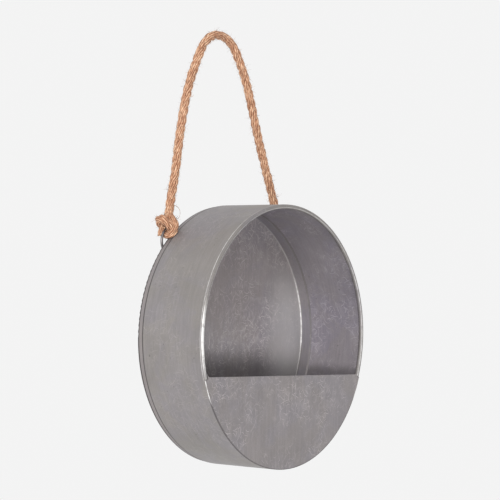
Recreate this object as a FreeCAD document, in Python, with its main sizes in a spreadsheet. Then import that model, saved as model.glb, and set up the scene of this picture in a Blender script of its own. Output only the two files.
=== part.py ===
import FreeCAD, Part
import math
import os
import Sketcher

# Round sheet-metal wall planter: a shallow drum that faces -Y, with a plate across the lower
# part of its open front, hung by a rope from two rings behind its back.
# Millimetres. X is to the right, +Y is to the back, +Z is up. The origin is the centre of the
# back pan's rear face, so the drum lies at negative Y and its straps at positive Y.

doc = FreeCAD.newDocument("wall_planter")

SIZES = [
    ("drum_radius", 150.0, "outer radius of the side band"),
    ("drum_depth", 94.0, "rear face of the pan to the front face of the plate"),
    ("metal", 0.8, "thickness of all the sheet"),
    ("pan_strip", 8.0, "width of the pan's rim left showing behind the band"),
    ("pan_lap", 6.0, "how far the pan's rim goes on inside the band"),
    ("pan_bend", 1.8, "outer radius of the bend round the pan"),
    ("lap_gap", 0.1, "running room between lapped or soldered sheets"),
    ("rim_wire", 3.2, "diameter of the wire inside the rolled rim"),
    ("wire_gap", 0.1, "room round the wire inside the roll"),
    ("roll_end", 62.0, "angle left open where the roll comes round to the band"),
    ("plate_drop", 44.0, "plate's top edge below the drum's centre"),
    ("notch_drop", 2.3, "end of the rolled rim below the plate's top edge"),
    ("notch_angle_gap", 0.2, "angle left between the rolled rim's end and the plate"),
    ("corner_fillet", 6.0, "radius of the plate's concave top corners"),
    ("hem_width", 7.0, "width of the plate's folded top edge"),
    ("hem_round", 0.7, "rounding of the fold along the top edge"),
    ("bead", 2.4, "leg of the solder fillets"),
    ("bead_stop", 2.0, "angle left free at each end of the plate's solder"),
    ("strap_wide", 8.0, "width of the strap round each ring"),
    ("strap_tail", 17.0, "length of the strap's doubled tail below the loop"),
    ("loop_bore", 4.3, "inner diameter of the strap's loop"),
    ("ring_wire", 3.0, "diameter of the rings' wire"),
    ("ring_radius", 16.5, "radius of the rings at the middle of their wire"),
    ("ring_across", 93.4, "each ring's centre from the middle of the drum"),
    ("ring_inset", 10.0, "each ring's centre inside the drum's edge"),
    ("rope_width", 10.6, "diameter of the rope"),
    ("knot_out", 9.2, "each knot's centre outward of its ring's centre"),
    ("knot_back", 1.0, "each knot's centre behind the pan's rear face"),
    ("knot_up", 19.1, "each knot's centre above its ring's centre"),
    ("knot_half_wide", 14.5, "half the knot's width"),
    ("knot_half_deep", 13.0, "half the knot's depth"),
    ("knot_half_tall", 17.5, "half the knot's height"),
    ("knot_room", 0.6, "gap between a knot and the drum it lies against"),
    ("wire_seat", 0.2, "gap between a knot and the ring's wire in it"),
]

# What follows from the sizes: the roll, the band's inside, the pan's outside, the ends of the
# rolled rim, the plate's corners, the strap's loop and the places of the rings and knots.
WORKED = [
    ("roll_outer", "Sizes.rim_wire / 2 + Sizes.wire_gap + Sizes.metal"),
    ("roll_inner", "Sizes.rim_wire / 2 + Sizes.wire_gap"),
    ("roll_at", "Sizes.drum_radius - roll_outer"),
    ("roll_front", "Sizes.drum_depth - roll_outer"),
    ("band_inside", "Sizes.drum_radius - Sizes.metal"),
    ("plate_rear", "Sizes.drum_depth - Sizes.metal"),
    ("pan_radius", "band_inside - Sizes.lap_gap"),
    ("pan_front", "Sizes.pan_strip + Sizes.pan_lap"),
    ("notch_angle", "asin((Sizes.plate_drop + Sizes.notch_drop) / roll_at) / 1 deg"),
    ("rim_angle", "180 + 2 * notch_angle"),
    ("step_angle", "notch_angle + Sizes.notch_angle_gap"),
    ("ear_radius", "Sizes.drum_radius - 2 * roll_outer - Sizes.lap_gap"),
    ("fillet_below", "Sizes.plate_drop - Sizes.corner_fillet"),
    ("fillet_radius_at", "ear_radius - Sizes.corner_fillet"),
    ("fillet_across", "sqrt(fillet_radius_at * fillet_radius_at - fillet_below * fillet_below)"),
    ("touch_across", "fillet_across * ear_radius / fillet_radius_at"),
    ("touch_below", "fillet_below * ear_radius / fillet_radius_at"),
    ("hem_rear", "Sizes.drum_depth - 2 * Sizes.metal - Sizes.lap_gap"),
    ("loop_inner", "Sizes.loop_bore / 2"),
    ("loop_outer", "loop_inner + Sizes.metal"),
    ("tail_thick", "2 * Sizes.metal"),
    ("tail_meets", "sqrt(loop_outer * loop_outer - (loop_outer - tail_thick) * (loop_outer - tail_thick))"),
    ("ring_from_axis", "Sizes.drum_radius - Sizes.ring_inset"),
    ("ring_height", "sqrt(ring_from_axis * ring_from_axis - Sizes.ring_across * Sizes.ring_across)"),
    ("loop_height", "ring_height - Sizes.ring_radius"),
    ("knot_across", "Sizes.ring_across + Sizes.knot_out"),
    ("knot_height", "ring_height + Sizes.knot_up"),
]

sizes = doc.addObject("Spreadsheet::Sheet", "Sizes")
for row, (alias, value, note) in enumerate(SIZES, 1):
    sizes.set(f"A{row}", note)
    sizes.set(f"B{row}", str(value))
    sizes.setAlias(f"B{row}", alias)
doc.recompute()

worked = doc.addObject("Spreadsheet::Sheet", "Worked")
for row, (alias, formula) in enumerate(WORKED, 1):
    worked.set(f"A{row}", "=" + formula)
    worked.setAlias(f"A{row}", alias)
doc.recompute()


def number(text):
    """The value of an expression on the two sheets."""
    found = worked.evalExpression(text)
    return float(getattr(found, "Value", found))


# ---------------------------------------------------------------- sketches and bodies


def new_body(label):
    body = doc.addObject("PartDesign::Body", label)
    body.Label = label
    return body


def new_sketch(body, name, plane):
    """A sketch on one of the body's origin planes: YZ_Plane reads (Y, Z), XZ_Plane (X, Z)."""
    sketch = body.newObject("Sketcher::SketchObject", name)
    flat = next(f for f in body.Origin.OriginFeatures if f.Role == plane)
    sketch.AttachmentSupport = (flat, [""])
    sketch.MapMode = "FlatFace"
    return sketch


def bound(sketch, constraint, expression):
    """Add a constraint whose value follows an expression."""
    index = sketch.addConstraint(constraint)
    sketch.renameConstraint(index, f"size{index}")
    sketch.setExpression(f"Constraints.size{index}", expression)


def pin(sketch, edge, end, across, up):
    """Hold an end of an edge at two distances from the sketch's origin."""
    here = sketch.getPoint(edge, end)
    bound(sketch, Sketcher.Constraint("DistanceX", -1, 1, edge, end, here.x), across)
    bound(sketch, Sketcher.Constraint("DistanceY", -1, 1, edge, end, here.y), up)


def outline(sketch, corners):
    """A closed outline. Each corner is (across, up), or (across, up, radius, centre across,
    centre up, turn) where an arc leads on to the next corner: turn 1 is anticlockwise, -1 clockwise."""
    spots = [FreeCAD.Vector(number(c[0]), number(c[1]), 0) for c in corners]
    first = sketch.GeometryCount
    count = len(corners)
    starts = []
    for i, corner in enumerate(corners):
        here, there = spots[i], spots[(i + 1) % count]
        if len(corner) == 2:
            sketch.addGeometry(Part.LineSegment(here, there), False)
            starts.append(1)
            continue
        centre = FreeCAD.Vector(number(corner[3]), number(corner[4]), 0)
        turn = corner[5]
        low, high = (here, there) if turn > 0 else (there, here)
        begin = math.atan2(low.y - centre.y, low.x - centre.x)
        finish = math.atan2(high.y - centre.y, high.x - centre.x)
        if finish <= begin:
            finish += 2 * math.pi
        circle = Part.Circle(centre, FreeCAD.Vector(0, 0, 1), number(corner[2]))
        sketch.addGeometry(Part.ArcOfCircle(circle, begin, finish), False)
        starts.append(1 if turn > 0 else 2)
    for i in range(count):
        after = (i + 1) % count
        sketch.addConstraint(
            Sketcher.Constraint("Coincident", first + i, 3 - starts[i], first + after, starts[after])
        )
    for i, corner in enumerate(corners):
        pin(sketch, first + i, starts[i], corner[0], corner[1])
        if len(corner) > 2:
            bound(sketch, Sketcher.Constraint("Radius", first + i, number(corner[2])), corner[2])


def round_hole(sketch, across, up, radius):
    centre = FreeCAD.Vector(number(across), number(up), 0)
    edge = sketch.addGeometry(Part.Circle(centre, FreeCAD.Vector(0, 0, 1), number(radius)), False)
    pin(sketch, edge, 3, across, up)
    bound(sketch, Sketcher.Constraint("Radius", edge, number(radius)), radius)


def turned(body, name, sketch, angle=None):
    """Turn a YZ sketch about the drum's axis, all round or by an angle shared by both sides."""
    made = body.newObject("PartDesign::Revolution", name)
    made.Profile = sketch
    made.ReferenceAxis = (sketch, ["H_Axis"])
    if angle is None:
        made.Angle = 360
    else:
        made.Midplane = True
        made.setExpression("Angle", angle)
    doc.recompute()
    return made


def padded(body, name, sketch, length, midplane=False, backwards=False):
    made = body.newObject("PartDesign::Pad", name)
    made.Profile = sketch
    made.setExpression("Length", length)
    made.Midplane = midplane
    made.Reversed = backwards
    doc.recompute()
    return made


# ---------------------------------------------------------------- the drum


def side_band():
    """The rolled side of the drum. Its front edge is rolled inward round a wire along the open part,
    and left plain along the lower part, where the plate closes it."""
    body = new_body("side_band")
    rolled = new_sketch(body, "rolled_side", "YZ_Plane")
    turn_end = "(90 + Sizes.roll_end)"
    outline(rolled, [
        ("-Sizes.pan_strip", "Worked.band_inside"),
        ("-Sizes.pan_strip", "Sizes.drum_radius"),
        ("-Worked.roll_front", "Sizes.drum_radius",
         "Worked.roll_outer", "-Worked.roll_front", "Worked.roll_at", 1),
        (f"-Worked.roll_front - Worked.roll_outer * cos({turn_end})",
         f"Worked.roll_at + Worked.roll_outer * sin({turn_end})"),
        (f"-Worked.roll_front - Worked.roll_inner * cos({turn_end})",
         f"Worked.roll_at + Worked.roll_inner * sin({turn_end})",
         "Worked.roll_inner", "-Worked.roll_front", "Worked.roll_at", -1),
        ("-Worked.roll_front", "Worked.band_inside"),
    ])
    turned(body, "rolled_turn", rolled, "Worked.rim_angle")
    plain = new_sketch(body, "plain_side", "YZ_Plane")
    outline(plain, [
        ("-Sizes.pan_strip", "-Sizes.drum_radius"),
        ("-Sizes.pan_strip", "-Worked.band_inside"),
        ("-Worked.plate_rear", "-Worked.band_inside"),
        ("-Worked.plate_rear", "-Sizes.drum_radius"),
    ])
    turned(body, "plain_turn", plain, "360 - Worked.rim_angle")
    return body


def rim_wire():
    """The stiffening wire inside the rolled rim."""
    body = new_body("rim_wire")
    section = new_sketch(body, "wire_section", "YZ_Plane")
    round_hole(section, "-Worked.roll_front", "Worked.roll_at", "Sizes.rim_wire / 2")
    turned(body, "wire_turn", section, "Worked.rim_angle")
    return body


def back_pan():
    """The pressed back: a disc whose rim turns forward, shows as a narrow strip, and goes on inside
    the band."""
    body = new_body("back_pan")
    section = new_sketch(body, "pan_section", "YZ_Plane")
    outline(section, [
        ("0", "0"),
        ("0", "Worked.pan_radius - Sizes.pan_bend",
         "Sizes.pan_bend", "-Sizes.pan_bend", "Worked.pan_radius - Sizes.pan_bend", 1),
        ("-Sizes.pan_bend", "Worked.pan_radius"),
        ("-Worked.pan_front", "Worked.pan_radius"),
        ("-Worked.pan_front", "Worked.pan_radius - Sizes.metal"),
        ("-Sizes.pan_bend", "Worked.pan_radius - Sizes.metal",
         "Sizes.pan_bend - Sizes.metal", "-Sizes.pan_bend", "Worked.pan_radius - Sizes.pan_bend", -1),
        ("-Sizes.metal", "Worked.pan_radius - Sizes.pan_bend"),
        ("-Sizes.metal", "0"),
    ])
    turned(body, "pan_turn", section)
    return body


SAME_HEIGHT = 0.01  # heights closer than this count as one


def front_plate():
    """The plate across the lower front. Its top corners rise in concave ears against the rolled rim,
    it steps out to the band's own radius below the rim's ends, and its top edge is folded back."""
    body = new_body("front_plate")
    shape = new_sketch(body, "plate_shape", "XZ_Plane")
    shape.setExpression("AttachmentOffset.Base.z", "Sizes.drum_depth")
    ear_x = "Worked.ear_radius * cos(Worked.step_angle)"
    ear_z = "-Worked.ear_radius * sin(Worked.step_angle)"
    edge_x = "Sizes.drum_radius * cos(Worked.step_angle)"
    edge_z = "-Sizes.drum_radius * sin(Worked.step_angle)"
    outline(shape, [
        ("Worked.fillet_across", "-Sizes.plate_drop",
         "Sizes.corner_fillet", "Worked.fillet_across", "-Worked.fillet_below", 1),
        ("Worked.touch_across", "-Worked.touch_below", "Worked.ear_radius", "0", "0", -1),
        (ear_x, ear_z),
        (edge_x, edge_z, "Sizes.drum_radius", "0", "0", -1),
        ("-" + edge_x, edge_z),
        ("-" + ear_x, ear_z, "Worked.ear_radius", "0", "0", -1),
        ("-Worked.touch_across", "-Worked.touch_below",
         "Sizes.corner_fillet", "-Worked.fillet_across", "-Worked.fillet_below", 1),
        ("-Worked.fillet_across", "-Sizes.plate_drop"),
    ])
    padded(body, "plate_pad", shape, "Sizes.metal", backwards=True)
    fold = new_sketch(body, "hem_shape", "YZ_Plane")
    outline(fold, [
        ("-Sizes.drum_depth", "-Sizes.plate_drop - Sizes.hem_width"),
        ("-Worked.hem_rear", "-Sizes.plate_drop - Sizes.hem_width"),
        ("-Worked.hem_rear", "-Sizes.plate_drop"),
        ("-Sizes.drum_depth", "-Sizes.plate_drop"),
    ])
    hemmed = padded(body, "hem_pad", fold, "2 * Worked.fillet_across", midplane=True)
    top = -number("Sizes.plate_drop")
    long_edge = number("Worked.fillet_across")
    edges = [
        f"Edge{i}"
        for i, edge in enumerate(hemmed.Shape.Edges, 1)
        if edge.Length > long_edge and all(abs(v.Z - top) < SAME_HEIGHT for v in edge.Vertexes)
    ]
    rounding = body.newObject("PartDesign::Fillet", "hem_fold")
    rounding.Base = (hemmed, edges)
    rounding.setExpression("Radius", "Sizes.hem_round")
    doc.recompute()
    return body


def plate_solder():
    """The fillet of solder inside the trough, between the plate and the band."""
    body = new_body("plate_solder")
    section = new_sketch(body, "plate_bead", "YZ_Plane")
    rear = "-Worked.plate_rear + Sizes.lap_gap"
    under = "-Worked.band_inside + Sizes.lap_gap"
    outline(section, [
        (rear, under),
        (f"{rear} + Sizes.bead", under),
        (rear, f"{under} + Sizes.bead"),
    ])
    turned(body, "plate_bead_turn", section, "360 - Worked.rim_angle - 2 * Sizes.bead_stop")
    return body


def pan_solder():
    """The ring of solder inside the drum, along the front edge of the pan's rim."""
    body = new_body("pan_solder")
    section = new_sketch(body, "pan_bead", "YZ_Plane")
    front = "-Worked.pan_front - Sizes.lap_gap"
    outline(section, [
        (front, "Worked.pan_radius"),
        (f"{front} - Sizes.bead", "Worked.pan_radius"),
        (front, "Worked.pan_radius - Sizes.metal"),
    ])
    turned(body, "pan_bead_turn", section)
    return body


# ---------------------------------------------------------------- the hanger


def strap(label, side):
    """A strip folded round the ring, with its doubled tail spot-welded to the pan's rear face."""
    body = new_body(label)
    section = new_sketch(body, label + "_section", "YZ_Plane")
    outline(section, [
        ("0", "Worked.loop_height - Sizes.strap_tail"),
        ("0", "Worked.loop_height",
         "Worked.loop_outer", "Worked.loop_outer", "Worked.loop_height", -1),
        ("Worked.tail_thick", "Worked.loop_height - Worked.tail_meets"),
        ("Worked.tail_thick", "Worked.loop_height - Sizes.strap_tail"),
    ])
    round_hole(section, "Worked.loop_outer", "Worked.loop_height", "Worked.loop_inner")
    padded(body, label + "_pad", section, "Sizes.strap_wide", midplane=True)
    body.setExpression("Placement.Base.x", f"{side} * Sizes.ring_across")
    return body


def torus(label, side, wire):
    """A round ring that stands above its strap's loop, parallel to the back."""
    made = doc.addObject("Part::Torus", label)
    made.Label = label
    made.setExpression("Radius1", "Sizes.ring_radius")
    made.setExpression("Radius2", wire)
    made.Placement = FreeCAD.Placement(
        FreeCAD.Vector(0, 0, 0), FreeCAD.Rotation(FreeCAD.Vector(1, 0, 0), 90)
    )
    made.setExpression("Placement.Base.x", f"{side} * Sizes.ring_across")
    made.setExpression("Placement.Base.y", "Worked.loop_outer")
    made.setExpression("Placement.Base.z", "Worked.ring_height")
    return made


def knot(label, side):
    """The outer shape of the knot that ties the rope round a ring. It is hollowed where the drum's
    rear edge and the ring's wire go."""
    lump = doc.addObject("Part::Ellipsoid", label + "_lump")
    lump.setExpression("Radius1", "Sizes.knot_half_tall")
    lump.setExpression("Radius2", "Sizes.knot_half_wide")
    lump.setExpression("Radius3", "Sizes.knot_half_deep")
    lump.Angle1 = -90
    lump.Angle2 = 90
    lump.setExpression("Placement.Base.x", f"{side} * Worked.knot_across")
    lump.setExpression("Placement.Base.y", "Sizes.knot_back")
    lump.setExpression("Placement.Base.z", "Worked.knot_height")
    drum = doc.addObject("Part::Cylinder", label + "_drum_room")
    drum.setExpression("Radius", "Sizes.drum_radius + Sizes.knot_room")
    drum.setExpression("Height", "Sizes.drum_depth + Sizes.knot_room")
    drum.Placement = FreeCAD.Placement(
        FreeCAD.Vector(0, 0, 0), FreeCAD.Rotation(FreeCAD.Vector(1, 0, 0), 90)
    )
    drum.setExpression("Placement.Base.y", "Sizes.knot_room")
    tunnel = torus(label + "_tunnel", side, "Sizes.ring_wire / 2 + Sizes.wire_seat")
    rooms = doc.addObject("Part::MultiFuse", label + "_rooms")
    rooms.Shapes = [drum, tunnel]
    made = doc.addObject("Part::Cut", label)
    made.Label = label
    made.Base = lump
    made.Tool = rooms
    return made


# The rope's route, from inside the left knot up over the top to inside the right knot.
ROPE_POINTS = [
    (-101.8, 1.2, 130.0),
    (-98.0, 1.7, 152.0),
    (-90.5, 2.2, 183.5),
    (-84.0, 2.9, 231.0),
    (-73.5, 3.6, 276.5),
    (-58.0, 4.1, 312.5),
    (-43.6, 4.4, 337.6),
    (-27.3, 4.6, 347.3),
    (-9.0, 4.6, 347.8),
    (7.0, 4.4, 339.8),
    (22.0, 4.2, 320.0),
    (37.0, 3.9, 292.0),
    (51.0, 3.4, 253.0),
    (68.0, 2.8, 210.0),
    (88.5, 1.9, 163.5),
    (101.3, 1.2, 130.0),
]
ARC_SHARE = 0.45  # of the shorter run beside a corner, taken by the corner's arc


def rope_path(points):
    """Straight runs joined by tangent arcs, each as large as its two runs allow."""
    spots = [FreeCAD.Vector(*p) for p in points]
    edges, radii, at = [], [], spots[0]
    for before, here, after in zip(spots, spots[1:], spots[2:]):
        back, on = (before - here), (after - here)
        reach = ARC_SHARE * min(back.Length, on.Length)
        turn = math.pi - back.getAngle(on)
        radii.append(reach / math.tan(turn / 2))
        back.normalize()
        on.normalize()
        start, end = here + back * reach, here + on * reach
        inward = back + on
        inward.normalize()
        middle = here + inward * (radii[-1] / math.cos(turn / 2) - radii[-1])
        edges.append(Part.LineSegment(at, start).toShape())
        edges.append(Part.Arc(start, middle, end).toShape())
        at = end
    edges.append(Part.LineSegment(at, spots[-1]).toShape())
    return Part.Wire(edges), radii


def rope():
    path, radii = rope_path(ROPE_POINTS)
    start = FreeCAD.Vector(*ROPE_POINTS[0])
    heading = FreeCAD.Vector(*ROPE_POINTS[1]) - start
    half = number("Sizes.rope_width") / 2
    section = Part.Wire([Part.Circle(start, heading, half).toShape()])
    made = doc.addObject("Part::Feature", "rope")
    made.Label = "rope"
    made.Shape = path.makePipeShell([section], True, False)
    expected = math.pi * half**2 * path.Length
    print("rope: corner radii", [round(r, 1) for r in radii])
    print(f"rope: length {path.Length:.1f}, volume {made.Shape.Volume:.0f}, section x length {expected:.0f}")
    return made


pieces = [
    side_band(),
    rim_wire(),
    back_pan(),
    front_plate(),
    plate_solder(),
    pan_solder(),
]
for name, side in (("left", -1), ("right", 1)):
    pieces.append(strap(f"{name}_strap", side))
    pieces.append(torus(f"{name}_ring", side, "Sizes.ring_wire / 2"))
    pieces.append(knot(f"{name}_knot", side))
pieces.append(rope())
doc.recompute()

for thing in doc.Objects:
    if "Invalid" in thing.State or "Error" in thing.State:
        raise RuntimeError(f"{thing.Label} failed: {thing.State}")
for piece in pieces:
    if piece.Shape.isNull() or not piece.Shape.isValid() or not piece.Shape.Solids:
        raise RuntimeError(f"{piece.Label} has no valid solid")

os.makedirs("parts", exist_ok=True)
for piece in pieces:
    piece.Shape.exportStep(f"parts/{piece.Label}.step")
    box = piece.Shape.BoundBox
    print(
        f"{piece.Label}: {len(piece.Shape.Solids)} solid, volume {piece.Shape.Volume:.0f}, "
        f"x {box.XMin:.1f} to {box.XMax:.1f}, y {box.YMin:.1f} to {box.YMax:.1f}, "
        f"z {box.ZMin:.1f} to {box.ZMax:.1f}"
    )
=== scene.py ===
import math

import bpy
import numpy as np
from mathutils import Matrix, Vector


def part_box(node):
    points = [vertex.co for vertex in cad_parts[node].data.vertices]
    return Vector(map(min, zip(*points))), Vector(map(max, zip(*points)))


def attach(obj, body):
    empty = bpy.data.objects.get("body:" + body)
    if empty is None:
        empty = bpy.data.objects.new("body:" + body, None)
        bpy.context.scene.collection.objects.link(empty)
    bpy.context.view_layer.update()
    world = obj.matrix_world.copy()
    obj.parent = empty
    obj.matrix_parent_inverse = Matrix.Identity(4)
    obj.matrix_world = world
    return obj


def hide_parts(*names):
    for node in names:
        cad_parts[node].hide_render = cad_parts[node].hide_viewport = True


# Round sheet-metal wall planter, hung by a laid jute rope from two rings behind its back.
# Metres. X is to the right, +Y is to the back, +Z is up.

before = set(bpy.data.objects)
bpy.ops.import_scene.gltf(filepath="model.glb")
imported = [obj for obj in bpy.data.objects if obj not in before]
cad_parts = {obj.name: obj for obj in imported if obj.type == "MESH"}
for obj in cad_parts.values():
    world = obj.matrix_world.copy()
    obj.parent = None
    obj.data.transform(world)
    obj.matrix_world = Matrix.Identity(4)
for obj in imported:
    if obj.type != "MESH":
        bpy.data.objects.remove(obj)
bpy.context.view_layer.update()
MM = 0.001

# ---------------------------------------------------------------- sizes

BAND_LOW, BAND_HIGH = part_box("side_band")
DRUM_RADIUS = BAND_HIGH.x
BAND_REAR = BAND_HIGH.y
BAND_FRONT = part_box("front_plate")[0].y
PLATE_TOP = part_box("front_plate")[1].z
ROLL_THICK = 5.0 * MM
SHEET = 0.8 * MM
LAP_GAP = 0.1 * MM
PAN_BEND = 1.8 * MM  # outer radius of the bend between the pan's back and its rim
PAN_RADIUS = DRUM_RADIUS - SHEET - LAP_GAP
PAN_INSIDE = PAN_RADIUS - SHEET
BEND_RADIUS = PAN_RADIUS - PAN_BEND  # from the drum's axis to the middle of that bend
MIDDLE = 0.0  # the drum's axis in X and Z, and the pan's rear face in Y

# ---------------------------------------------------------------- camera

CAMERA_AT = Vector((-1.63145, -1.34761, 0.03318))
CAMERA_LOOKS = Vector((0.77897, 0.62629, 0.03108)).normalized()
CAMERA_ROLL = math.radians(1.564)
CAMERA_LENS = 130.66
CAMERA_SENSOR = 36
CAMERA_TURN = math.radians(51.2)  # from the drum's front to the camera, seen from above


def add_camera():
    bpy.context.scene.view_settings.view_transform = "Standard"
    data = bpy.data.cameras.new("camera")
    data.lens = CAMERA_LENS
    data.sensor_width = CAMERA_SENSOR
    camera = bpy.data.objects.new("camera", data)
    bpy.context.scene.collection.objects.link(camera)
    level = CAMERA_LOOKS.cross(Vector((0, 0, 1))).normalized()
    upright = level.cross(CAMERA_LOOKS)
    right = level * math.cos(CAMERA_ROLL) + upright * math.sin(CAMERA_ROLL)
    up = upright * math.cos(CAMERA_ROLL) - level * math.sin(CAMERA_ROLL)
    turn = Matrix((right, up, -CAMERA_LOOKS)).transposed()
    camera.matrix_world = Matrix.Translation(CAMERA_AT) @ turn.to_4x4()
    bpy.context.scene.camera = camera


# ---------------------------------------------------------------- node helpers


def shade(colour, amount):
    return tuple(amount * part for part in colour)


class Nodes:
    """Short names for building one material's nodes. A mask is a value from 0 to 1."""

    def __init__(self, name):
        self.material = bpy.data.materials.new(name)
        self.material.use_nodes = True
        self.tree = self.material.node_tree
        self.shader = self.tree.nodes["Principled BSDF"]
        self.where = self.add("TexCoord").outputs["Object"]

    def add(self, kind, **values):
        node = self.tree.nodes.new("ShaderNode" + kind)
        for key, value in values.items():
            setattr(node, key, value)
        return node

    def join(self, source, target):
        self.tree.links.new(source, target)

    def feed(self, socket, value):
        if isinstance(value, bpy.types.NodeSocket):
            self.join(value, socket)
        else:
            socket.default_value = value

    def maths(self, operation, *values):
        node = self.add("Math", operation=operation)
        for socket, value in zip(node.inputs, values):
            self.feed(socket, value)
        return node.outputs[0]

    def chain(self, operation, values):
        total = values[0]
        for value in values[1:]:
            total = self.maths(operation, total, value)
        return total

    def times(self, *values):
        """The product of values: where all of some masks are."""
        return self.chain("MULTIPLY", values)

    def most(self, *values):
        """The largest of values: where any of some masks is."""
        return self.chain("MAXIMUM", values)

    def less(self, mask):
        """Where a mask isn't."""
        return self.maths("SUBTRACT", 1.0, mask)

    def distance(self, first, second):
        """How far two coordinates are from zero together."""
        square = self.maths("MULTIPLY_ADD", second, second, self.times(first, first))
        return self.maths("SQRT", square)

    def vectors(self, operation, first, second):
        node = self.add("VectorMath", operation=operation)
        self.feed(node.inputs[0], first)
        self.feed(node.inputs[1], second)
        return node.outputs[0]

    def vector(self, *values):
        node = self.add("CombineXYZ")
        for socket, value in zip(node.inputs, values):
            self.feed(socket, value)
        return node.outputs[0]

    def parts(self, vector):
        """A vector's or a colour's three values."""
        node = self.add("SeparateXYZ")
        self.join(vector, node.inputs[0])
        return tuple(node.outputs)

    def noise(self, where, scale, detail, rough=0.5, distortion=0.0):
        node = self.add("TexNoise")
        self.join(where, node.inputs["Vector"])
        node.inputs["Scale"].default_value = scale
        node.inputs["Detail"].default_value = detail
        node.inputs["Roughness"].default_value = rough
        node.inputs["Distortion"].default_value = distortion
        return node.outputs[0]

    def ramp(self, value, low, high, start=0.0, end=1.0):
        """Value low to high, mapped smoothly to start to end."""
        node = self.add("MapRange", interpolation_type="SMOOTHSTEP")
        for socket, number in zip(node.inputs, (value, low, high, start, end)):
            self.feed(socket, number)
        return node.outputs[0]

    def edge(self, value, datum, start, end):
        """A mask that rises from 0 at start to 1 at end, both in millimetres from a datum."""
        return self.ramp(value, datum + start * MM, datum + end * MM)

    def stripe(self, value, datum, middle, half, soft):
        """A mask that is 1 within half of a middle and falls to 0 over soft, in millimetres."""
        away = self.maths("ABSOLUTE", self.maths("SUBTRACT", value, datum + middle * MM))
        return self.ramp(away, half * MM, (half + soft) * MM, 1.0, 0.0)

    def mix(self, share, first, second, blend="MIX"):
        node = self.add("Mix", data_type="RGBA", blend_type=blend)
        self.feed(node.inputs["Factor"], share)
        for socket, colour in zip((node.inputs[6], node.inputs[7]), (first, second)):
            self.feed(socket, colour if isinstance(colour, bpy.types.NodeSocket) else (*colour, 1))
        return node.outputs[2]

    def bump(self, height, strength, distance):
        node = self.add("Bump")
        node.inputs["Strength"].default_value = strength
        node.inputs["Distance"].default_value = distance
        self.join(height, node.inputs["Height"])
        self.join(node.outputs[0], self.shader.inputs["Normal"])


# ---------------------------------------------------------------- metal

WHITE = (1, 1, 1)
WARM = (1.065, 0.99, 0.945)
LILAC = (1.01, 0.95, 1.03)
PLAIN = (1.06, 0.972, 0.968)
BRIGHT = (0.93, 0.92, 0.90)
# Near-black cover for real grime and specks, and for painted shade in joints, along the outline, in the
# crease behind the roll and low inside.
GRIME_AND_SHADE = (0.030, 0.025, 0.024)

SIDE_TONE = 0.235
BACK_TONE = 0.335
FRONT_TONE = 0.231
SCRATCH_BRIGHTER = 2.6
INNER_WALL_TINT = (1.29, 1.28, 1.42)
ROLL_TINT = (0.88, 0.88, 0.88)
PAN_OUTSIDE_TINT = (0.74, 0.73, 0.72)
PAN_RIM_TINT = (0.90, 0.905, 0.95)
# Painted light and painted shade for the pan's inside.
PAN_PAINTED_LIGHT = (0.62, 0.61, 0.60)
PAN_PAINTED_SHADE = (0.15, 0.122, 0.122)

# Noises: scale, detail, roughness and, for one, distortion.
MOTTLE = (15, 4, 0.55)
TINGE = (21, 3, 0.6, 0.8)
STREAKS = (420, 3, 0.6)
BROAD_STREAKS = (60, 3, 0.6)
FINE_GRAIN = (800, 3, 0.7)
HAZE = (90, 4, 0.75)
SCRATCH_PATCHES = (22, 3, 0.6)
WEAR_AND_HIGHLIGHT_BREAKUP = (130, 3, 0.6)
SPECKS = (240, 2, 0.6)

# How fine streaks and broad ones are drawn out, up and down or round the drum.
DRAWN_UP = (1, 1, 0.07), (1, 1, 0.3)
DRAWN_ROUND = (0.07, 1, 1), (0.3, 1, 1)

# Hair scratches come in layers, each with one scratch in each cell of a random pattern: the cell's
# size, half the scratch's length and half its width, in millimetres.
HAIR_LAYERS = (
    (7.5, 4.2, 0.28),
    (5.5, 3.0, 0.25),
    (10.0, 6.0, 0.28),
    (14.0, 9.0, 0.26),
    (6.5, 3.6, 0.26),
    (11.5, 7.0, 0.24),
)
HAIR_LAYER_APART = (0.37, 0.61)  # metres from each layer's pattern to the next one's
HAIR_BEND = 0.55  # how far a scratch's end may bend off its line, as a share of its half length


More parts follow.
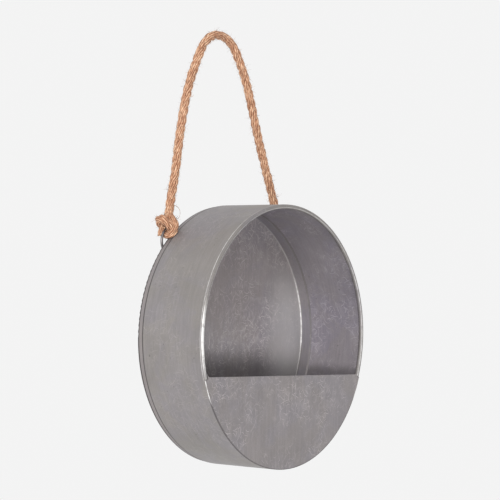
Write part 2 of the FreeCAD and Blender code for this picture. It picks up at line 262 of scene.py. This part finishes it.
class Metal(Nodes):
    """Aged zinc of a mean tone: mottled, and brushed up and down, or round the drum if rolled."""

    def __init__(self, name, tone, tint=PLAIN, metal=0.5, rough=0.5, rolled=False):
        super().__init__(name)
        self.tone = tone
        self.x, self.y, self.z = self.parts(self.where)
        self.radius = self.distance(self.x, self.z)
        self.sheet = self.vector(self.x, self.z)
        brushed, drawn_out = self.where, DRAWN_UP
        if rolled:
            along = self.times(self.maths("ARCTAN2", self.x, self.z), DRUM_RADIUS)
            self.sheet = brushed = self.vector(along, self.y, self.radius)
            drawn_out = DRAWN_ROUND
        mottle = self.ramp(self.noise(self.where, *MOTTLE), 0.3, 0.7)
        tinge = self.ramp(self.noise(self.where, *TINGE), 0.38, 0.66)
        streaks = self.noise(self.vectors("MULTIPLY", brushed, drawn_out[0]), *STREAKS)
        broad = self.noise(self.vectors("MULTIPLY", brushed, drawn_out[1]), *BROAD_STREAKS)
        self.fine = self.noise(self.where, *FINE_GRAIN)
        self.colour = self.mix(mottle, shade(tint, tone * 0.92), shade(tint, tone * 1.08))
        self.cover(self.times(tinge, 0.6), shade(LILAC, tone * 1.02))
        grain = self.maths("ADD", self.times(streaks, 0.45), self.times(broad, 0.15))
        grain = self.maths("MULTIPLY_ADD", self.fine, 0.4, grain)
        grain = self.ramp(grain, 0.36, 0.64, 0.92, 1.08)
        self.colour = self.mix(1.0, self.colour, self.vector(grain, grain, grain), "MULTIPLY")
        uneven = self.maths("ADD", mottle, self.fine)
        self.gloss = self.ramp(uneven, 0.5, 1.5, rough - 0.06, rough + 0.07)
        self.shader.inputs["Metallic"].default_value = metal

    def cover(self, mask, colour):
        """Another colour where a mask is."""
        self.colour = self.mix(mask, self.colour, colour)

    def tint(self, outside, inside, mask):
        """The colour multiplied by one tint where a mask isn't and by another where it is."""
        self.colour = self.mix(1.0, self.colour, self.mix(mask, outside, inside), "MULTIPLY")

    def hairs(self, number, cell, half_long, half_wide):
        """A layer of scratches, each at its own angle, bent its own way and of its own strength."""
        half_long, half_wide = half_long * MM, half_wide * MM
        across_by, up_by = HAIR_LAYER_APART
        moved = self.vectors("ADD", self.sheet, (across_by * number, up_by * number, 0))
        cells = self.add("TexVoronoi", voronoi_dimensions="2D")
        self.join(moved, cells.inputs["Vector"])
        cells.inputs["Scale"].default_value = 1 / (cell * MM)
        x, y, _ = self.parts(self.vectors("SUBTRACT", moved, cells.outputs["Position"]))
        turn, bow, strength = self.parts(cells.outputs["Color"])
        angle = self.times(turn, math.pi)
        cosine, sine = self.maths("COSINE", angle), self.maths("SINE", angle)
        along = self.maths("MULTIPLY_ADD", x, cosine, self.times(y, sine))
        across = self.maths("SUBTRACT", self.times(y, cosine), self.times(x, sine))
        bend = self.maths("MULTIPLY_ADD", bow, 2 * HAIR_BEND / half_long, -HAIR_BEND / half_long)
        off_line = self.maths("SUBTRACT", across, self.times(along, along, bend))
        return self.times(
            self.ramp(self.maths("ABSOLUTE", off_line), 0.3 * half_wide, 1.3 * half_wide, 1.0, 0.0),
            self.ramp(self.maths("ABSOLUTE", along), 0.5 * half_long, half_long, 1.0, 0.0),
            self.ramp(strength, 0.3, 1.0),
        )

    def scratch(self, share):
        """Hair scratches and a faint haze, in patches, in colour and in bump."""
        lines = self.ramp(self.noise(self.where, *HAZE), 0.42, 0.72, 0.0, 0.25)
        for number, layer in enumerate(HAIR_LAYERS):
            lines = self.most(lines, self.hairs(number, *layer))
        patches = self.ramp(self.noise(self.where, *SCRATCH_PATCHES), 0.38, 0.60, 0.15, 1.0)
        lines = self.times(lines, patches, share)
        height = self.maths("SUBTRACT", self.times(self.fine, 0.5), self.times(lines, 0.8))
        self.bump(height, 0.2, 0.12 * MM)
        self.cover(lines, shade(PLAIN, self.tone * SCRATCH_BRIGHTER))

    def wear_and_highlight(self, mask):
        """Bare bright metal where a mask is, both worn metal and painted highlights, broken up in patches.
        """
        broken = self.ramp(self.noise(self.where, *WEAR_AND_HIGHLIGHT_BREAKUP), 0.36, 0.56, 0.45, 1.0)
        share = self.times(mask, broken)
        self.cover(share, BRIGHT)
        self.gloss = self.maths("SUBTRACT", self.gloss, self.times(share, 0.2))

    def finish(self):
        self.join(self.colour, self.shader.inputs["Base Color"])
        self.join(self.gloss, self.shader.inputs["Roughness"])
        return self.material


def side_metal():
    """The band: brushed round, painted shadow lines in its joints, a worn rolled rim with painted
    highlights, scratched inside, painted shade in the crease behind the roll and low inside, specks of
    grime.
    """
    made = Metal("zinc_side", SIDE_TONE, WARM, rolled=True)
    x, y, z, radius = made.x, made.y, made.z, made.radius
    outside = made.edge(radius, DRUM_RADIUS, -0.7, -0.4)
    inside = made.times(made.edge(radius, DRUM_RADIUS, -0.5, -0.7),
                        made.edge(y, BAND_FRONT, 4.5, 5.5))
    made.scratch(made.maths("MULTIPLY_ADD", inside, 0.35, 0.25))
    made.tint(WHITE, INNER_WALL_TINT, inside)

    open_arc = made.edge(z, MIDDLE, -50, -44)
    closed_arc = made.edge(z, MIDDLE, -66, -74)
    # Painted shadow lines where the band meets the pan at the back and the plate at the front.
    rear_seam_shade = made.times(made.edge(y, BAND_REAR, -1.7, -0.7), outside)
    plate_seam_shade = made.times(made.edge(y, BAND_FRONT, 2.0, 1.0), closed_arc)
    made.cover(made.times(made.most(rear_seam_shade, plate_seam_shade), 0.8), GRIME_AND_SHADE)
    made.tint(WHITE, ROLL_TINT, made.times(made.edge(y, BAND_FRONT, 3.2, 2.6), open_arc))

    # Bright lines along the roll's shoulder and lip: worn metal with painted highlights, stronger on the
    # left and right; a painted highlight on the roll's left side.
    shoulder = made.times(made.stripe(y, BAND_FRONT, 2.5, 0.1, 0.5), outside)
    lip = made.times(made.edge(y, BAND_FRONT, 1.6, 0.6),
                     made.stripe(radius, DRUM_RADIUS, -3.7, 0.15, 0.5))
    left = made.edge(x, MIDDLE, -60, -110)
    right = made.edge(x, MIDDLE, 110, 140)
    highlight_by_side = made.maths("MULTIPLY_ADD", made.maths("ADD", left, right), 0.35, 0.3)
    lines = made.times(made.most(shoulder, lip), open_arc, highlight_by_side)
    painted_highlight = made.times(made.stripe(z, MIDDLE, -8, 16, 40), left,
                        made.edge(y, BAND_FRONT, 1.3, 0.7))
    made.wear_and_highlight(made.most(lines, made.times(painted_highlight, 0.8)))

    # Painted shade in the crease behind the roll and low inside, with real specks of grime.
    crease_shade = made.times(made.stripe(y, BAND_FRONT + ROLL_THICK, 1.0, 0.7, 0.7), inside)
    low_shade = made.times(made.edge(z, MIDDLE, -30, -44), inside)
    specks = made.ramp(made.noise(made.where, *SPECKS), 0.70, 0.76)
    darkening = made.most(made.times(crease_shade, 0.75), made.times(low_shade, 0.5), made.times(specks, 0.45))
    made.cover(darkening, GRIME_AND_SHADE)
    return made.finish()


def back_metal():
    """The pan and straps: scratched, painted shadow along the band's rear edge and the pan's outline,
    painted light and shade inside with a painted reflection by the rim, worn along the pan's inside corner
    with a painted highlight.
    """
    made = Metal("zinc_back", BACK_TONE)
    x, y, z, radius = made.x, made.y, made.z, made.radius
    from_bend = made.distance(made.maths("SUBTRACT", radius, BEND_RADIUS),
                              made.maths("SUBTRACT", y, -PAN_BEND))
    outer_bend = made.times(made.ramp(from_bend, 1.05 * MM, 1.2 * MM),
                            made.edge(y, -PAN_BEND, -0.2, 0), made.edge(radius, BEND_RADIUS, -0.2, 0))
    within = made.times(made.edge(radius, PAN_INSIDE, 0.3, 0.1), made.less(outer_bend))
    inside = made.times(within, made.edge(y, MIDDLE, -0.35, -0.65))
    inside_rim = made.times(made.edge(y, MIDDLE, -2.4, -3.2),
                            made.edge(radius, PAN_INSIDE, -0.5, -0.2), within)
    flat = made.edge(radius, BEND_RADIUS, 0.3, -0.3)
    made.scratch(made.times(flat, made.maths("MULTIPLY_ADD", inside, 0.45, 0.3)))
    made.tint(PAN_OUTSIDE_TINT, WHITE, inside)
    made.tint(WHITE, PAN_RIM_TINT, inside_rim)

    # Painted shadow on the pan just behind the band's rear edge and along the pan's outer bend.
    seam_shade = made.times(made.edge(y, BAND_REAR, 1.2, 0.5), made.edge(radius, DRUM_RADIUS, -1.3, -1.1))
    outline_shade = made.times(made.edge(y, MIDDLE, -3.2, -2.2), made.less(within),
                           made.most(outer_bend, made.edge(y, MIDDLE, -1.4, -1.8)))
    # Painted shade low on the pan's inside, and a painted reflection of the plate's corner near the rim.
    low_shade = made.times(made.edge(z, MIDDLE, -8, -43), 0.66)
    painted_reflection = made.times(made.edge(radius, PAN_INSIDE, -14, -4), made.edge(z, MIDDLE, 22, -20))
    darkening = made.times(made.most(low_shade, made.times(painted_reflection, 0.42)), inside,
                      made.maths("MULTIPLY_ADD", inside_rim, -0.5, 1.0))
    made.cover(made.most(made.times(made.most(seam_shade, outline_shade), 0.85), darkening), GRIME_AND_SHADE)

    # Painted light on the lower right of the pan's inside and painted shade on its upper left.
    painted_light = made.times(made.edge(x, MIDDLE, 60, 125), made.stripe(z, MIDDLE, 8, 20, 75), inside,
                      made.edge(radius, PAN_INSIDE, -0.2, -0.6))
    made.cover(made.times(painted_light, 0.64), PAN_PAINTED_LIGHT)
    painted_shade = made.times(made.edge(x, MIDDLE, 105, 5), made.stripe(z, MIDDLE, 62, 20, 60), inside)
    made.cover(made.times(painted_shade, 0.40), PAN_PAINTED_SHADE)

    # The pan's inside bend: worn metal with a painted highlight, strongest about 24 mm above the middle.
    corner = made.times(made.edge(radius, PAN_INSIDE, -1.1, -0.6), made.edge(y, MIDDLE, -2.6, -1.9),
                        made.edge(y, MIDDLE, -0.5, -0.7), within)
    worn_and_lit = made.maths("MULTIPLY_ADD", made.stripe(z, MIDDLE, 24, 26, 26), 0.7, 0.12)
    made.wear_and_highlight(made.times(corner, worn_and_lit))
    return made.finish()


def front_metal():
    """The plate: hair scratches, worn along its folded top edge, a painted shadow line along the joint round
    its rim.
    """
    made = Metal("zinc_front", FRONT_TONE)
    made.scratch(0.55)
    made.wear_and_highlight(made.times(made.edge(made.z, PLATE_TOP, -1.4, -0.6), 0.5))
    made.wear_and_highlight(made.times(made.edge(made.radius, DRUM_RADIUS, -0.7, -0.1),
                         made.edge(made.z, MIDDLE, -76, -64)))
    # Painted shadow line where the plate's lower rim meets the band.
    seam_shade = made.times(made.edge(made.radius, DRUM_RADIUS, -1.1, -0.5),
                      made.edge(made.z, MIDDLE, -68, -78))
    made.cover(made.times(seam_shade, 0.55), GRIME_AND_SHADE)
    return made.finish()


def plain_metal(name, tone, metal, rough):
    made = Metal(name, tone, PLAIN, metal, rough)
    made.scratch(0.15)
    return made.finish()


# ---------------------------------------------------------------- jute

JUTE_DARK = (0.12, 0.042, 0.019)
JUTE_MIDDLE = (0.45, 0.215, 0.118)
JUTE_LIGHT = (0.78, 0.52, 0.34)
LOOSE_DARK = (0.10, 0.05, 0.03)
LOOSE_LIGHT = (0.55, 0.34, 0.21)
JUTE_PATCHES = (90, 3, 0.6)
LOOSE_PATCHES = (160, 2)
FIBRE_STRETCH = (0.6, 3.2, 1)
YARN_STRETCH = (0.6, 1.1, 1)


def jute():
    """Fibres drawn out along each yarn. The UV map holds (along, yarns round)."""
    made = Nodes("jute")
    lay = made.add("UVMap", uv_map="lay").outputs[0]
    yarns_round = made.parts(lay)[1]
    fibres = made.noise(made.vectors("MULTIPLY", lay, FIBRE_STRETCH), 1.0, 3, 0.7)
    yarns = made.noise(made.vectors("MULTIPLY", lay, YARN_STRETCH), 1.0, 1, 0.5)
    patches = made.noise(made.where, *JUTE_PATCHES)
    tone = made.maths("ADD", made.times(fibres, 0.45), made.times(yarns, 0.35))
    tone = made.maths("MULTIPLY_ADD", patches, 0.2, tone)
    # Yarn crests lighter and the hollows between yarns darker: painted shade in the hollows.
    crest = made.maths("ABSOLUTE", made.maths("SINE", made.times(yarns_round, math.pi)))
    tone = made.maths("SUBTRACT", tone, 0.14)
    tone = made.maths("MULTIPLY_ADD", made.ramp(crest, 0.0, 0.75), 0.20, tone)
    colour = made.mix(made.ramp(tone, 0.36, 0.5), JUTE_DARK, JUTE_MIDDLE)
    colour = made.mix(made.ramp(tone, 0.5, 0.66), colour, JUTE_LIGHT)
    made.join(colour, made.shader.inputs["Base Color"])
    made.shader.inputs["Roughness"].default_value = 0.8
    made.shader.inputs["Sheen Weight"].default_value = 0.15
    made.shader.inputs["Sheen Roughness"].default_value = 0.45
    made.bump(fibres, 0.75, 0.35 * MM)
    return made.material


def loose_jute():
    made = Nodes("loose_jute")
    tone = made.ramp(made.noise(made.where, *LOOSE_PATCHES), 0.35, 0.65)
    made.join(made.mix(tone, LOOSE_DARK, LOOSE_LIGHT), made.shader.inputs["Base Color"])
    made.shader.inputs["Roughness"].default_value = 0.7
    return made.material


# ---------------------------------------------------------------- rope

ROPE_SEED = 11
ROPE_WIDTH = 10.6 * MM
KNOT_ROPE_WIDTH = 9.8 * MM  # pulled tighter than the rope above it
LAY = 31 * MM  # the rope's length over which a strand goes once round
STRANDS = 3
STRAND_RADIUS = 0.61 * ROPE_WIDTH / 2  # pressed into each other, so more than three touching rounds
STRAND_FROM_MIDDLE = ROPE_WIDTH / 2 - STRAND_RADIUS
YARNS = 7
YARN_LAY = 0.8 * LAY
YARN_DEEP = 0.26
RING_STEP = 0.8 * MM
STRAND_SIDES = 35
TAIL_SPLAY = 0.12
TAIL_SHARE = 0.07

# How much each thing about a strand wanders, and over about what length.
TURN_WANDER = (0.16, 35 * MM)
REACH_WANDER = (0.07, 21 * MM)
YARN_WANDER = (0.25, 30 * MM)
WIDTH_WANDER = (0.05, 17 * MM)
WAVES = 5
SURFACE_ROUGH = 0.025

# Loose fibres: how many on each metre of rope, how much each stands out of it, the gamma spread of
# their length and the range of their radius in millimetres. First a fine halo, then longer strays.
LOOSE_FIBRES = (
    (5200, (0.12, 0.70), (2.2, 1.2), (0.06, 0.11)),
    (420, (0.35, 0.95), (4.0, 1.1), (0.11, 0.20)),
)
SHORTEST_FIBRE, LONGEST_FIBRE = 1.0, 8.5  # millimetres
FIBRE_ASTRAY = 0.2
FIBRE_CURL = 0.9
FIBRE_LIES_BACK = 0.3
FIBRE_STEP = 1 * MM
FIBRE_ROOT = 0.42  # of the rope's width from its middle
FIBRE_PIECES = 5
THREAD_SIDES = 3
THREAD_TAPER = 0.75
OFF_AXIS = (0.3, 0.5, 0.8)  # any direction that no thread runs in

# The rope's route, from inside the left knot up over the top to inside the right knot.
ROPE_ROUTE = [
    (-0.1018, 0.0012, 0.1300),
    (-0.0980, 0.0017, 0.1520),
    (-0.0905, 0.0022, 0.1835),
    (-0.0840, 0.0029, 0.2310),
    (-0.0735, 0.0036, 0.2765),
    (-0.0580, 0.0041, 0.3125),
    (-0.0436, 0.0044, 0.3376),
    (-0.0273, 0.0046, 0.3473),
    (-0.0090, 0.0046, 0.3478),
    (0.0070, 0.0044, 0.3398),
    (0.0220, 0.0042, 0.3200),
    (0.0370, 0.0039, 0.2920),
    (0.0510, 0.0034, 0.2530),
    (0.0680, 0.0028, 0.2100),
    (0.0885, 0.0019, 0.1635),
    (0.1013, 0.0012, 0.1300),
]

# The knot's route in millimetres from its middle: across the photograph, away from it, and up.
# The rope comes down the right, turns under, goes back through the ring, comes up behind it and
# round the left, crosses its own front and is tucked in behind. The right knot mirrors the left.
KNOT_ROUTE = [
    (0.8, 0.0, 10.5),
    (2.4, 0.0, 7.5),
    (6.6, -0.6, 3.8),
    (8.2, -2.0, -2.5),
    (7.2, -4.0, -8.6),
    (4.4, -4.6, -12.2),
    (0.8, -1.5, -13.2),
    (-2.6, 4.6, -10.5),
    (-5.6, 6.2, -4.0),
    (-9.6, 3.6, 1.6),
    (-9.8, -1.4, 5.6),
    (-5.6, -5.6, 5.4),
    (-0.4, -6.6, 1.2),
    (3.2, -4.6, -3.6),
    (2.6, 1.8, -5.6),
    (-4.0, 7.8, -3.6),
    (-6.6, 8.2, -8.0),
    (-7.2, 7.6, -13.0),
]
KNOT_FROM_RING = Vector((-9.2 * MM, -1.95 * MM, 19.1 * MM))  # on the left
DRUM_CLEAR = 0.7 * MM

# Loose ends that show in the photograph: the rope's height where each starts, the side that it is
# on, and its points from the rope's middle there, in millimetres as in KNOT_ROUTE.
LOOSE_ENDS = [
    (145, -1, [(3.5, -2.5, 0.0), (8.0, -2.0, -0.6), (12.0, -1.0, -6.5), (10.8, 0.0, -14.0),
               (7.5, 1.0, -18.0)]),
    (131, -1, [(7.5, 0.0, -3.0), (11.0, 0.0, -2.0), (13.5, 0.0, 1.0)]),
    (131, -1, [(7.5, 0.5, -3.0), (9.5, 0.5, -1.0), (10.6, 0.5, 1.6)]),
    (271, -1, [(4.0, -1.5, 0.5), (5.8, -1.0, -1.4), (7.4, -0.5, -0.6), (8.4, 0.0, 1.9)]),
    (258, -1, [(3.0, -3.5, -0.4), (4.6, -2.5, 0.0), (6.8, -1.5, 1.1)]),
    (168, 1, [(4.0, 0.0, 0.0), (6.5, 0.0, 0.5), (8.5, 0.0, 2.5)]),
    (168, 1, [(4.0, 0.0, -1.0), (7.0, 0.0, -0.5), (9.0, 0.0, -1.0)]),
]
LOOSE_THICK = 0.36 * MM
LOOSE_KEEPS = 5  # one in so many of the points on a loose end's line


def smooth_line(points):
    """Points along the NURBS curve that has these as its control points."""
    curve = bpy.data.curves.new("route", "CURVE")
    curve.dimensions = "3D"
    curve.resolution_u = 24
    spline = curve.splines.new("NURBS")
    spline.points.add(len(points) - 1)
    for point, place in zip(spline.points, points):
        point.co = (*place, 1)
    spline.order_u = 3
    spline.use_endpoint_u = True
    holder = bpy.data.objects.new("route", curve)
    mesh = bpy.data.meshes.new_from_object(holder)
    line = np.array([v.co for v in mesh.vertices], float)
    bpy.data.objects.remove(holder)
    bpy.data.curves.remove(curve)
    bpy.data.meshes.remove(mesh)
    return line


def unit(vectors):
    return vectors / np.linalg.norm(vectors, axis=-1, keepdims=True)


def even(line, step):
    """(points step apart along a line, how far along each is)."""
    runs = np.linalg.norm(np.diff(line, axis=0), axis=1)
    along = np.concatenate([[0], np.cumsum(runs)])
    at = np.linspace(0, along[-1], max(2, round(along[-1] / step)) + 1)
    return np.stack([np.interp(at, along, line[:, k]) for k in range(3)], 1), at


def frames(line):
    """(ahead, side, other side) at each point, carried along with no twist of their own."""
    ahead = unit(np.gradient(line, axis=0))
    side = np.zeros_like(line)
    side[0] = unit(np.cross(ahead[0], (0, 1, 0)))
    for i in range(1, len(line)):
        side[i] = unit(side[i - 1] - ahead[i] * (side[i - 1] @ ahead[i]))
    return ahead, side, np.cross(ahead, side)


def mesh_piece(name, points, faces, uvs=None):
    mesh = bpy.data.meshes.new(name)
    mesh.from_pydata(points.tolist(), [], faces)
    mesh.polygons.foreach_set("use_smooth", [True] * len(mesh.polygons))
    if uvs is not None:
        layer = mesh.uv_layers.new(name="lay")
        layer.data.foreach_set("uv", uvs.astype(np.float32).ravel())
    mesh.update()
    piece = bpy.data.objects.new(name, mesh)
    bpy.context.scene.collection.objects.link(piece)
    return piece


def wander(random, at, amount, scale):
    """A smooth random wave along a line, within about amount of zero."""
    total = np.zeros_like(at)
    for _ in range(WAVES):
        length = scale * random.uniform(0.5, 2.0)
        total += np.sin(2 * math.pi * at / length + random.uniform(0, 2 * math.pi))
    return amount * total / WAVES**0.5


def tube_faces(base, rings, sides):
    """Quads round a tube and a cap on each end, as lists of point numbers."""
    faces = []
    for i in range(rings - 1):
        low, high = base + i * sides, base + (i + 1) * sides
        for k in range(sides):
            after = (k + 1) % sides
            faces.append((low + k, low + after, high + after, high + k))
    last = base + (rings - 1) * sides
    faces.append(tuple(base + k for k in reversed(range(sides))))
    faces.append(tuple(last + k for k in range(sides)))
    return faces


def tube_uvs(along, rounds):
    """UVs of tube_faces' corners. Rounds has one column more than the tube has sides."""
    grid = np.stack([np.broadcast_to(along[:, None], rounds.shape), rounds], -1)
    quads = np.stack([grid[:-1, :-1], grid[:-1, 1:], grid[1:, 1:], grid[1:, :-1]], 2).reshape(-1, 2)
    return np.concatenate([quads, grid[0, :-1][::-1], grid[-1, :-1]])


def laid_rope(line, width, random, thickness=None):
    """Three twisted strands round a line, each with the ridges of its yarns."""
    line, at = even(line, RING_STEP)
    ahead, side, other = frames(line)
    size = width / ROPE_WIDTH
    thick = np.ones_like(at) if thickness is None else thickness(at / at[-1])
    turn = np.linspace(0, 2 * math.pi, STRAND_SIDES + 1)
    points, faces, uvs = [], [], []
    for strand in range(STRANDS):
        phase = 2 * math.pi * (strand / STRANDS + at / LAY) + wander(random, at, *TURN_WANDER)
        out = side * np.cos(phase)[:, None] + other * np.sin(phase)[:, None]
        reach = STRAND_FROM_MIDDLE * size * thick * (1 + wander(random, at, *REACH_WANDER))
        middle = line + out * reach[:, None]
        forward = unit(np.gradient(middle, axis=0))
        outward = unit(out - forward * (out * forward).sum(1)[:, None])
        across = np.cross(forward, outward)
        yarn_turn = 2 * math.pi * at / YARN_LAY + wander(random, at, *YARN_WANDER)
        yarns = (turn[None] + yarn_turn[:, None]) / (2 * math.pi) * YARNS
        ridge = 1 - YARN_DEEP * (1 - np.abs(np.sin(math.pi * yarns[:, :-1]))) ** 1.5
        rough = 1 + SURFACE_ROUGH * random.standard_normal((len(at), STRAND_SIDES))
        radius = STRAND_RADIUS * size * (thick * (1 + wander(random, at, *WIDTH_WANDER)))[:, None]
        radius = radius * ridge * rough
        ring = (outward[:, None] * (np.cos(turn[:-1])[None] * radius)[..., None]
                + across[:, None] * (np.sin(turn[:-1])[None] * radius)[..., None])
        faces += tube_faces(sum(len(p) for p in points), len(at), STRAND_SIDES)
        points.append((middle[:, None] + ring).reshape(-1, 3))
        uvs.append(tube_uvs(at / STRAND_RADIUS, yarns + 17 * strand))
    return np.concatenate(points), faces, np.concatenate(uvs)


def thread(line, radius):
    """A tapering thread along a few points."""
    points = []
    last = len(line) - 1
    for i, at in enumerate(line):
        heading = line[min(i + 1, last)] - line[max(i - 1, 0)]
        first = unit(np.cross(heading, OFF_AXIS))
        second = unit(np.cross(heading, first))
        thin = radius * (1 - THREAD_TAPER * i / last)
        for k in range(THREAD_SIDES):
            angle = 2 * math.pi * k / THREAD_SIDES
            points.append(at + thin * (first * math.cos(angle) + second * math.sin(angle)))
    return points, tube_faces(0, len(line), THREAD_SIDES)


def fibre(root, heading, bend, length):
    """The points of one loose fibre that curls."""
    line = [np.array(root, float)]
    for _ in range(FIBRE_PIECES):
        heading = unit(heading)
        line.append(line[-1] + heading * length / FIBRE_PIECES)
        heading = heading + bend / FIBRE_PIECES
    return line


def add_thread(points, faces, line, radius):
    made = thread(line, radius)
    base = len(points)
    points.extend(made[0])
    faces.extend(tuple(base + k for k in face) for face in made[1])


def fuzz(line, width, random):
    """(points, faces) of the fibres that stand out of a rope."""
    line, at = even(line, FIBRE_STEP)
    ahead, side, other = frames(line)
    points, faces = [], []
    for per_metre, slopes, lengths, radii in LOOSE_FIBRES:
        for _ in range(round(at[-1] * per_metre)):
            i = random.integers(len(line))
            angle = random.uniform(0, 2 * math.pi)
            out = side[i] * math.cos(angle) + other[i] * math.sin(angle)
            slope = random.uniform(*slopes)
            along = ahead[i] * random.choice((-1, 1))
            heading = along * (1 - slope) + out * slope + random.normal(0, FIBRE_ASTRAY, 3)
            length = min(random.gamma(*lengths) + SHORTEST_FIBRE, LONGEST_FIBRE) * MM
            bend = random.normal(0, FIBRE_CURL, 3) - out * FIBRE_LIES_BACK
            hair = fibre(line[i] + out * width * FIBRE_ROOT, heading, bend, length)
            add_thread(points, faces, hair, random.uniform(*radii) * MM)
    return points, faces


def clear_of_drum(points):
    """Points moved back or out from the drum's rear edge, where the knot bears on it."""
    from_middle = np.hypot(points[:, 0], points[:, 2])
    into_edge = DRUM_RADIUS + DRUM_CLEAR - from_middle
    into_rear = DRUM_CLEAR - points[:, 1]
    inside = (into_edge > 0) & (into_rear > 0)
    backward = inside & (into_rear < into_edge)
    outward = inside & ~backward
    points[backward, 1] = DRUM_CLEAR
    for axis in (0, 2):
        points[outward, axis] *= (DRUM_RADIUS + DRUM_CLEAR) / from_middle[outward]
    return points


def seen_from_camera(across, away, up):
    """Millimetres across the photograph, away from it and up, turned into the frame's metres."""
    x = across * math.cos(CAMERA_TURN) + away * math.sin(CAMERA_TURN)
    y = away * math.cos(CAMERA_TURN) - across * math.sin(CAMERA_TURN)
    return x * MM, y * MM, up * MM


def knot_place(side, point):
    """A point of KNOT_ROUTE in the frame. Side is -1 on the left and 1 on the right."""
    low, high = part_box("left_ring" if side < 0 else "right_ring")
    from_ring = Vector((-side * KNOT_FROM_RING.x, KNOT_FROM_RING.y, KNOT_FROM_RING.z))
    centre = (low + high) / 2 + from_ring
    x, y, z = seen_from_camera(*point)
    return centre.x - side * x, centre.y + y, centre.z + z


def knot_line(side):
    return smooth_line([knot_place(side, point) for point in KNOT_ROUTE])


def loose_line(rope, height, side, points):
    """A loose end's line, from the rope's middle at a height on one side."""
    top = rope[:, 2].argmax()
    half = rope[:top] if side < 0 else rope[top:]
    root = half[np.abs(half[:, 2] - height * MM).argmin()]
    return smooth_line([root + seen_from_camera(*point) for point in points])[::LOOSE_KEEPS]


def tail_end(share):
    """The rope's thickness along a knot: full, then splayed a little at its cut end."""
    return 1 + TAIL_SPLAY * np.clip((share - 1 + TAIL_SHARE) / TAIL_SHARE, 0, 1)


def add_rope(jute_material, loose_material):
    random = np.random.default_rng(ROPE_SEED)
    line = smooth_line(ROPE_ROUTE)
    rope = mesh_piece("jute_rope", *laid_rope(line, ROPE_WIDTH, random))
    points, faces = fuzz(line, ROPE_WIDTH, random)
    for height, side, ends in LOOSE_ENDS:
        add_thread(points, faces, loose_line(line, height, side, ends), LOOSE_THICK)
    pieces = {"rope": rope, "rope_fuzz": mesh_piece("rope_fuzz", np.array(points), faces)}
    for label, side in (("left", -1), ("right", 1)):
        route = knot_line(side)
        points, faces, uvs = laid_rope(route, KNOT_ROPE_WIDTH, random, tail_end)
        knot = mesh_piece(f"{label}_tied_knot", clear_of_drum(points), faces, uvs)
        tuft, tuft_faces = fuzz(route, KNOT_ROPE_WIDTH, random)
        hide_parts(f"{label}_knot")
        pieces[f"{label}_knot"] = knot
        pieces[f"{label}_fuzz"] = mesh_piece(f"{label}_knot_fuzz", clear_of_drum(np.array(tuft)), tuft_faces)
    for key, piece in pieces.items():
        piece.data.materials.append(loose_material if "fuzz" in key else jute_material)
        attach(piece, "hanger")
    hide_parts("rope")


# ---------------------------------------------------------------- finishes on the frame


def dress_frame():
    side, back, front = side_metal(), back_metal(), front_metal()
    wire, solder = plain_metal("steel_wire", 0.17, 0.85, 0.3), plain_metal("solder", 0.23, 0.5, 0.6)
    finishes = {
        "side_band": side, "rim_wire": wire, "back_pan": back, "front_plate": front,
        "plate_solder": solder, "pan_solder": solder, "left_strap": back, "right_strap": back,
        "left_ring": wire, "right_ring": wire,
    }
    for name, material in finishes.items():
        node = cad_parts[name]
        node.data.materials.clear()
        node.data.materials.append(material)


# ---------------------------------------------------------------- floor and light

FLOOR_DROP = 0.55
FLOOR_RADIUS = 4.2
FLOOR_SIDES = 96
FLOOR_PATCHES = (3, 2)
FLOOR_TONES = (0.88, 0.88, 0.88), (0.90, 0.90, 0.90)
KEY_AT = (-2.7, -1.7, 0.5)
KEY_SIZE = 1.8
KEY_POWER = 60
SKY = (0.90, 0.90, 0.90, 1)


def add_floor():
    angles = np.linspace(0, 2 * math.pi, FLOOR_SIDES, endpoint=False)
    height = np.full_like(angles, BAND_LOW.z - FLOOR_DROP)
    rim = np.stack([FLOOR_RADIUS * np.cos(angles), FLOOR_RADIUS * np.sin(angles), height], 1)
    floor = mesh_piece("floor", rim, [tuple(range(FLOOR_SIDES))])
    made = Nodes("floor")
    tone = made.ramp(made.noise(made.where, *FLOOR_PATCHES), 0.3, 0.7)
    made.join(made.mix(tone, *FLOOR_TONES), made.shader.inputs["Base Color"])
    made.shader.inputs["Roughness"].default_value = 0.9
    floor.data.materials.append(made.material)


def add_lights():
    data = bpy.data.lights.new("key", "AREA")
    data.shape = "DISK"
    data.size = KEY_SIZE
    data.energy = KEY_POWER
    key = bpy.data.objects.new("key", data)
    bpy.context.scene.collection.objects.link(key)
    key.location = KEY_AT
    key.rotation_euler = (-Vector(KEY_AT)).to_track_quat("-Z", "Y").to_euler()
    world = bpy.data.worlds.new("studio")
    bpy.context.scene.world = world
    world.use_nodes = True
    sky = world.node_tree.nodes["Background"]
    sky.inputs["Color"].default_value = SKY
    sky.inputs["Strength"].default_value = 1.0


add_camera()
add_rope(jute(), loose_jute())
dress_frame()
add_floor()
add_lights()
